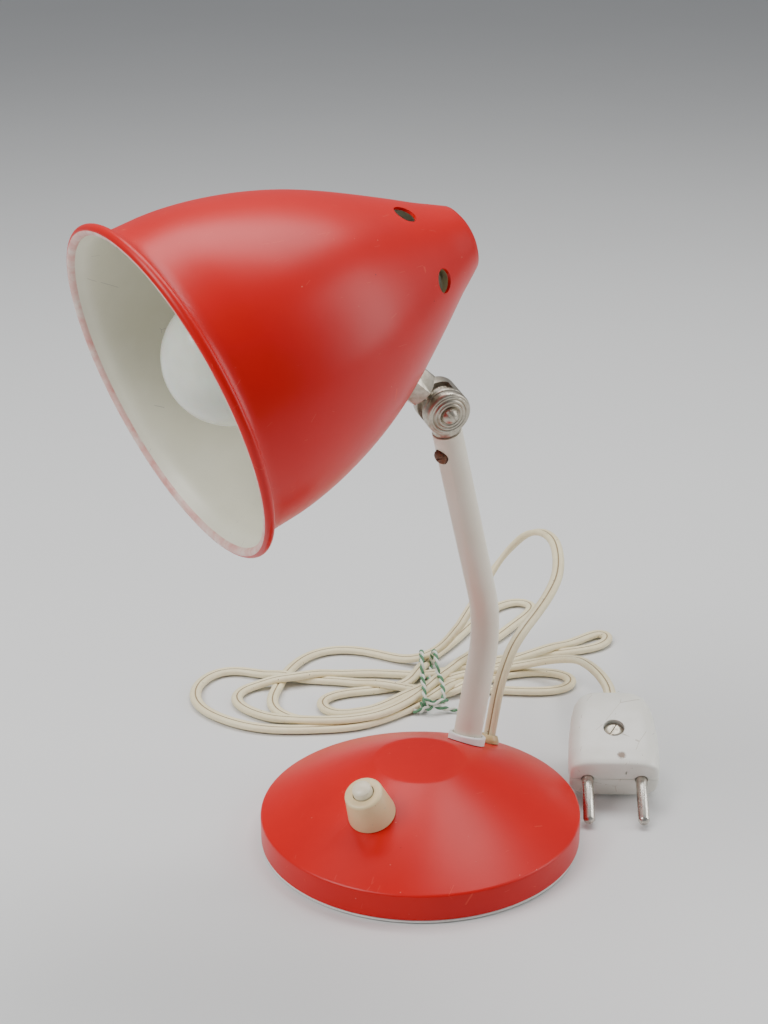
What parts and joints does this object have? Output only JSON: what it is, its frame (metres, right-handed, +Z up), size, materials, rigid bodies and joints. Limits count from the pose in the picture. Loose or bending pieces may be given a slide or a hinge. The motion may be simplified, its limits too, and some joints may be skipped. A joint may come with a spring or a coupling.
{
  "type": "architect desk lamp",
  "caption": "Small desk lamp with a bell shade on a bent stem with a swivelling and tilting knuckle, over a weighted round base with a push switch and a tied hank of twin flex.",
  "frame": {"origin": "centre of the round base's underside, on the table", "axes": "+Z up; +Y from the base's centre towards the stem and the cord outlet; -Y towards the push switch; +X completes a right-handed frame"},
  "size_m": [0.2035, 0.2832, 0.2294],
  "materials": {
    "amber_plastic": "yellow-brown moulding",
    "black_bakelite": "black phenolic moulding",
    "brass": "dull brass",
    "brown_bakelite": "dark brown phenolic moulding",
    "cast_iron": "raw casting",
    "cream_flex": "cream twin flex sheath, satin",
    "dark_fibre": "dark fibre washer",
    "green_twine": "green and white twisted twine",
    "ivory_plastic": "ivory moulding, satin gloss",
    "nickel_plate": "tarnished nickel plate",
    "off_white_plastic": "off-white moulding, satin gloss, slightly stained",
    "opal_glass": "white frosted glass",
    "pale_felt": "pale felt",
    "pale_ivory_plastic": "paler ivory moulding, satin gloss",
    "red_enamel": "stove-enamelled red, satin gloss, off-white inside the shade",
    "rusty_steel": "dark brown rust",
    "steel": "bright spring steel",
    "white_enamel": "cream-white stove enamel with small chips",
    "white_plastic": "bright white moulding, satin",
    "zinc_plate": "dull zinc plate"
  },
  "bodies": {
    "base": {"base_lead": "cream_flex", "base_pad": "pale_felt", "base_plate": "zinc_plate", "base_shell": "red_enamel", "base_weight": "cast_iron", "cord_clip": "zinc_plate", "cord_grommet": "amber_plastic", "cord_hank": "cream_flex", "cord_plug_run": "cream_flex", "cord_rise": "cream_flex", "cord_tie": "green_twine", "cover_screw_1": "zinc_plate", "cover_screw_2": "zinc_plate", "cover_screw_3": "zinc_plate", "plug_base": "off_white_plastic", "plug_cover": "off_white_plastic", "plug_pin_left": "nickel_plate", "plug_pin_right": "nickel_plate", "plug_screw": "nickel_plate", "stem_collar": "white_plastic", "stem_grub_screw": "rusty_steel", "stem_lead": "cream_flex", "stem_nut": "zinc_plate", "stem_tube": "white_enamel", "stem_washer": "zinc_plate", "switch_body": "brown_bakelite", "switch_housing": "ivory_plastic", "switch_nut": "zinc_plate", "switch_spring": "steel", "switch_terminal_left": "brass", "switch_terminal_right": "brass"},
    "button": {"switch_button": "pale_ivory_plastic"},
    "knuckle": {"knuckle_body": "nickel_plate", "knuckle_cap": "nickel_plate", "hinge_screw": "nickel_plate", "hinge_nut": "nickel_plate", "hinge_washer_front": "dark_fibre", "hinge_washer_rear": "dark_fibre"},
    "shade": {"shade_neck": "nickel_plate", "shade_nut_outer": "nickel_plate", "shade_nut_inner": "nickel_plate", "shade_shell": "red_enamel", "socket_bracket": "zinc_plate", "lamp_holder": "black_bakelite", "holder_screw": "zinc_plate", "holder_contact_sleeve": "brass", "bulb_cap": "nickel_plate", "bulb_globe": "opal_glass", "holder_lead": "cream_flex"}
  },
  "joints": [
    {"name": "switch_press", "type": "slide", "parent": "base", "child": "button", "axis": [0, 0.4327, -0.9015], "range_m": [0, 0.0025], "stiffness_N_per_m": 300, "deforming": ["switch_spring"]},
    {"name": "knuckle_swivel", "type": "hinge", "parent": "base", "child": "knuckle", "pos_m": [0, 0.0131, 0.1525], "axis": [0, -0.3305, 0.9438], "range_deg": [-64, 136]},
    {"name": "shade_tilt", "type": "hinge", "parent": "knuckle", "child": "shade", "pos_m": [0, 0.0131, 0.1525], "axis": [0.8131, -0.5494, -0.1924], "range_deg": [-40, 50]}
  ]
}
